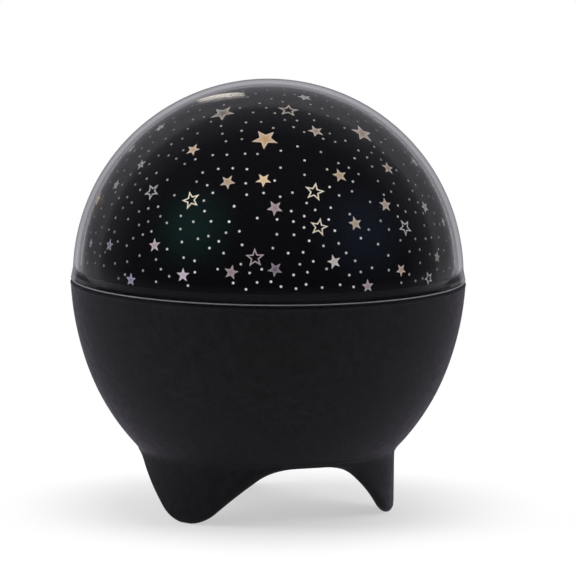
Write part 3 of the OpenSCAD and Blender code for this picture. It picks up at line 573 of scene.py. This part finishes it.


# Pearly film behind the openings: a soft warm or cool colour by the place, with a satin gloss.
# A painted highlight pales it along the printed edges, and it glows with its own colour at half
# strength, a painted glow of the light inside. Its ripple is about 0.7 mm.
ripple_size = 0.002 / 3
glowing_pearl_film, tree, shader = material(
    "glowing_pearl_film", "#d8c8b0", 0.3, Coat_Weight=0.3, Emission_Strength=0.5
)
tint = add(tree, "Attribute", attribute_name="tint").outputs["Color"]
edge = add(tree, "Attribute", attribute_name="edge").outputs["Fac"]
# Painted highlight: the colour goes half way to pale ivory at the printed edges, and the same colour
# feeds the painted glow
share = add(tree, "Math", {0: edge, 1: 0.5}, operation="MULTIPLY")
pale = add(tree, "Mix", {0: share.outputs[0], 6: tint, 7: linear("#ece6e0")}, data_type="RGBA")
tree.links.new(pale.outputs[2], shader.inputs["Base Color"])
tree.links.new(pale.outputs[2], shader.inputs["Emission Color"])
place = add(tree, "TexCoord").outputs["Object"]
ripple = add(tree, "TexNoise", {"Vector": place, "Scale": 1 / ripple_size, "Detail": 2.0})
satin = add(tree, "MapRange", {"Value": ripple.outputs["Fac"], "To Min": 0.25, "To Max": 0.4})
tree.links.new(satin.outputs["Result"], shader.inputs["Roughness"])

prints = []
for name, stars, hollow in (("filled_stars", filled_stars, False), ("open_stars", open_stars, True)):
    points, faces, tints, edge = printed_stars(both_sides(stars), hollow)
    piece = make_piece(name, points, faces, 40)
    store(piece, tints, edge)
    prints.append(piece)


def scatter(count, gap, margin, seed):
    """Longitudes and heights spread at random over the dome. Their sines of height run evenly
    from the plain margin at the dome's edge to 1. Each candidate stays only if none kept before
    it lies within the gap, and if it is clear of every star."""
    rng = np.random.default_rng(seed)
    height = rng.uniform(margin, 1, count)
    turn = rng.uniform(0, 2 * math.pi, count)
    flat = np.sqrt(1 - height**2)
    ways = np.stack([flat * np.cos(turn), flat * np.sin(turn), height], -1)
    lon, lat, size = np.array([s[:3] for s in both_sides(filled_stars + open_stars)], float).T
    lon, lat = np.radians(lon + print_turn), np.radians(lat)
    middles = np.stack([np.cos(lat) * np.cos(lon), np.cos(lat) * np.sin(lon), np.sin(lat)], -1)
    away = np.arccos(np.clip(ways @ middles.T, -1, 1)) * film_r
    # Clear by 0.8 mm of a circle a tenth wider than the star, whose size is in millimetres
    clear = (away > size * 0.00055 + 0.0008).all(1)
    near = math.cos(gap / film_r)
    kept = []
    for i in np.flatnonzero(clear):
        if not kept or (ways[kept] @ ways[i]).max() < near:
            kept.append(i)
    return turn[kept], np.arcsin(height[kept])


# Round dots, each a low closed disc of ten sides whose rim is sunk into the film
dot_r, dot_sides, dot_rings = 0.00042, 10, ((0.6, 0), (1, 0), (1, print_sunk))
lon, lat = scatter(count=2600, gap=0.0034, margin=0.045, seed=12)
a = np.arange(dot_sides) * 2 * math.pi / dot_sides
circle = np.repeat([dot_r * np.stack([np.cos(a), np.sin(a)], -1)], len(lon), 0)
points = np.stack([lay_on_dome(circle * s, lon, lat, d) for s, d in dot_rings], 1)
dots = make_piece("printed_dots", points, patch_faces(len(lon), len(dot_rings), dot_sides, False), 40)
# Painted light: the dots are brightest at the middle of each of the two sides and dimmer towards
# the dome's outline, where less of the light inside shows through them
face_on = np.abs(np.cos(lon - math.radians(-50))) * np.cos(lat - math.radians(12))
uneven = np.random.default_rng(5).uniform(0.6, 1, len(lon))
light = np.clip(0.16 + 0.95 * face_on**4, 0, 1) * uneven
per_dot = len(dot_rings) * dot_sides
store(dots, np.repeat(light[:, None] * linear("#fffefa"), per_dot, 0), np.zeros(len(lon) * per_dot))
prints.append(dots)

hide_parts("star_dome")
for piece in [film] + prints:
    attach(piece, "turntable")
for piece in prints:
    piece.data.materials.append(glowing_pearl_film)


# ---- Clear cover ----
# A thin hemisphere of clear polystyrene, injection moulded and polished. Its foot stands on
# the bowl's rim, and its spigot drops inside, so that it lifts straight off.

cover_r, cover_z, cover_wall, foot_top = 0.06415, 0.0774, 0.002, 0.0797
foot = [
    (0.06476, 0.0763), (0.0647, 0.07615), (0.0645, 0.0761), (0.0629, 0.0761),
    (0.0629, 0.0722), (0.0627, 0.072), (0.0621, 0.072), (0.0619, 0.0722), (0.0619, 0.0795),
]
cover = make_piece(
    "clear_cover_shell",
    *dome_surface(cover_r, cover_r - cover_wall, cover_z, foot_top, 256, 80, foot), 30
)
# Clear polystyrene, IOR 1.59 by the book and 1.49 as seen: hardly tinted, with a polished gloss.
# To shadow rays it is plain clear colour, so that the lamps reach what it covers.
clear_plastic, tree, shader = material(
    "clear_polystyrene", "#f6f6f7", 0.02, Transmission_Weight=1.0, IOR=1.49
)
for_lamps = add(tree, "LightPath").outputs["Is Shadow Ray"]
passing = add(tree, "BsdfTransparent", {"Color": linear("#f4f4f5")})
clear = add(tree, "MixShader", {0: for_lamps, 1: shader.outputs[0], 2: passing.outputs[0]})
tree.links.new(clear.outputs[0], tree.nodes["Material Output"].inputs["Surface"])
cover.data.materials.append(clear_plastic)

# The foot's lower edge is a grey matt skin, a few hundredths of a millimetre proud of the foot:
# partly the frosted line where the two halves of the mould met, partly a painted highlight, the
# pale line the foot shows along the seam
line_r, line_z = np.array([
    (0.06475, 0.0765), (0.06479, 0.0763), (0.06473, 0.07613), (0.06451, 0.07607), (0.0638, 0.07607),
    (0.0638, 0.07613), (0.0645, 0.07616), (0.06465, 0.0763), (0.06462, 0.0765),
]).T[:, :, None]
line_turns = 256
line = turned(line_r, line_z, np.arange(line_turns) * 2 * math.pi / line_turns)
matt_highlight_edge = make_piece("cover_matt_highlight_edge", line, grid_faces(len(line), line_turns, True)[:, ::-1], 30)
matt_highlight_plastic, tree, shader = material("matt_highlight_polystyrene", "#6e6e74", 0.6, Specular_IOR_Level=0.2)
mottle(tree, shader, 0.002, ("#68686e", "#74747a"), (0.55, 0.7), 0.0009, 0.00001)
matt_highlight_edge.data.materials.append(matt_highlight_plastic)

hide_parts("clear_cover")
for piece in (cover, matt_highlight_edge):
    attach(piece, "cover")


# ---- Studio ----
# A pale floor, a white backdrop behind the object, soft lamps and the camera, placed as the
# photograph's own: 8 degrees above the horizon, 1.5 m from the middle of the seam.

azimuth, elevation, lean = math.radians(39.6), math.radians(7.86), math.radians(0.46)
camera_away = 1.5
middle = np.array([0, 0, seam_z])
across = np.array([math.cos(azimuth), math.sin(azimuth), 0])
ahead = np.array([math.sin(azimuth), -math.cos(azimuth), 0])
to_camera = math.cos(elevation) * ahead + math.sin(elevation) * np.array([0, 0, 1])

# Seamless pale paper, quite matt. Near the object it takes the shadow, and further out the eye
# sees plain white. Its underside is clear, so that the base shows from below.
floor_r = 4
a = np.arange(64) * math.pi / 32
floor = make_piece(
    "floor", np.stack([floor_r * np.cos(a), floor_r * np.sin(a), 0 * a], -1), [list(range(64))]
)
pale_floor, tree, shader = material("pale_floor", "#f4f4f4", 0.9)
place = add(tree, "TexCoord").outputs["Object"]
away = add(tree, "VectorMath", {0: place}, operation="LENGTH")
fade = add(
    tree, "MapRange",
    {"Value": away.outputs["Value"], "From Min": 0.03, "From Max": 0.2, "To Min": 0.5},
    interpolation_type="SMOOTHSTEP",
)
eye = add(tree, "LightPath").outputs["Is Camera Ray"]
seen = add(tree, "Math", {0: fade.outputs["Result"], 1: eye}, operation="MULTIPLY")
white = add(tree, "Emission", {"Color": (1, 1, 1, 1), "Strength": 1.0})
top = add(tree, "MixShader", {0: seen.outputs[0], 1: shader.outputs[0], 2: white.outputs[0]})
under = add(tree, "NewGeometry").outputs["Backfacing"]
clear = add(tree, "BsdfTransparent")
both = add(tree, "MixShader", {0: under, 1: top.outputs[0], 2: clear.outputs[0]})
tree.links.new(both.outputs[0], tree.nodes["Material Output"].inputs["Surface"])
floor.data.materials.append(pale_floor)
floor.visible_glossy = floor.visible_transmission = False

world = bpy.data.worlds.new("studio")
world.use_nodes = True
bpy.context.scene.world = world
tree = world.node_tree
background = tree.nodes["Background"]
way = add(tree, "TexCoord").outputs["Generated"]
up = add(tree, "SeparateXYZ", {0: way}).outputs["Z"]
facing = add(
    tree, "VectorMath", {0: way, 1: tuple(to_camera)}, operation="DOT_PRODUCT"
).outputs["Value"]

# What gloss mirrors, from straight behind the object (0) to square beside it (1): a bright band
# not far off the backdrop's middle, which gives the clear cover its pale outline, and dim walls
round_from_behind = add(tree, "MapRange", {"Value": facing, "From Min": -1.0, "From Max": 0.0})
walls = add(tree, "ValToRGB", {"Fac": round_from_behind.outputs["Result"]})
levels = walls.color_ramp.elements
for end, level in zip(levels, (0.14, 0.025)):
    end.color = (level, level, level, 1)
for position, level in (
    (0.03, 0.42), (0.08, 0.5), (0.13, 0.15), (0.35, 0.12), (0.5, 0.16), (0.56, 0.075), (0.8, 0.05),
):
    levels.new(position).color = (level, level, level, 1)
# The walls are brighter higher up, and the pale table brighter the further down a ray points
higher = add(tree, "MapRange", {"Value": up, "From Max": 0.7, "To Min": 0.85, "To Max": 1.3})
walls = add(
    tree, "Math", {0: walls.outputs["Color"], 1: higher.outputs["Result"]}, operation="MULTIPLY"
)
table = add(
    tree, "MapRange", {"Value": up, "From Min": 0.0, "From Max": -0.3, "To Min": 0.0, "To Max": 0.12}
)
room = add(tree, "Math", {0: walls.outputs[0], 1: table.outputs["Result"]}, operation="ADD")

# What lights matt surfaces: soft light from behind and beside the object, hardly any from the
# camera. The eye sees plain white.
around = add(
    tree, "MapRange",
    {"Value": facing, "From Min": 0.35, "From Max": -0.4, "To Min": 0.03, "To Max": 1.05},
    interpolation_type="SMOOTHSTEP",
).outputs["Result"]
path = add(tree, "LightPath").outputs
mirrored = add(tree, "Math", {0: path["Glossy Depth"], 1: 0.5}, operation="GREATER_THAN").outputs[0]
scattered = add(tree, "Math", {0: path["Diffuse Depth"], 1: 0.5}, operation="GREATER_THAN")
seen = add(tree, "Mix", {0: mirrored, 2: 1.0, 3: room.outputs[0]}, data_type="FLOAT")
level = add(
    tree, "Mix", {0: scattered.outputs[0], 2: seen.outputs[0], 3: around}, data_type="FLOAT"
)
tree.links.new(level.outputs[0], background.inputs["Strength"])
dusk = add(tree, "Mix", {0: mirrored, 6: (1, 1, 1, 1), 7: (0.99, 0.97, 1.05, 1)}, data_type="RGBA")
tree.links.new(dusk.outputs[2], background.inputs["Color"])


def aim(held, place, along):
    """Puts a lamp or camera into the scene at a place, turned to face the middle of the seam and
    with its own X axis along a direction. Place (in metres from that middle) and direction are
    both given along across, ahead and up."""
    axes = np.array([across, ahead, [0, 0, 1]])
    away = np.array(place) @ axes
    back = away / np.linalg.norm(away)
    right = np.array(along) @ axes
    right = right - (right @ back) * back
    right /= np.linalg.norm(right)
    turn = np.eye(4)
    turn[:3, :3] = np.stack([right, np.cross(back, right), back], 1)
    turn[:3, 3] = middle + away
    held.matrix_world = turn.T.tolist()
    bpy.context.scene.collection.objects.link(held)


def lamp(name, place, along, size, watts, shape="RECTANGLE", colour=(1, 1, 1), shows=False):
    """An area lamp that faces the object, with its two sides in metres. It lights the object,
    but only if it shows does gloss mirror it."""
    light = bpy.data.lights.new(name, "AREA")
    light.shape, light.size, light.size_y, light.energy, light.color = shape, *size, watts, colour
    held = bpy.data.objects.new(name, light)
    held.visible_glossy = held.visible_transmission = shows
    aim(held, place, along)


lamp("key", (-0.95, 0.1, 0.35), (0, 1, 0), (0.5, 0.5), 6.5)
lamp("fill", (0.95, 0, 0.3), (0, 1, 0), (0.6, 0.6), 5.5)
lamp("top", (0, 0.1, 1.2), (1, 0, 0), (0.7, 0.7), 9)
lamp(
    "streak", (-0.186, -0.882, 0.6), (0.137, 0.089, 0.194), (0.27, 0.045), 0.08,
    "ELLIPSE", (1, 0.93, 0.82), True,
)

view = bpy.data.cameras.new("camera")
view.lens, view.sensor_width = 285.25, 36
view.shift_x, view.shift_y = 0.0344, -0.0154
view.clip_start, view.clip_end = 0.05, 50
camera = bpy.data.objects.new("camera", view)
aim(
    camera,
    (0, camera_away * math.cos(elevation), camera_away * math.sin(elevation)),
    (math.cos(lean), -math.sin(lean) * math.sin(elevation), math.sin(lean) * math.cos(elevation)),
)
bpy.context.scene.camera = camera
bpy.context.scene.view_settings.view_transform = "Standard"
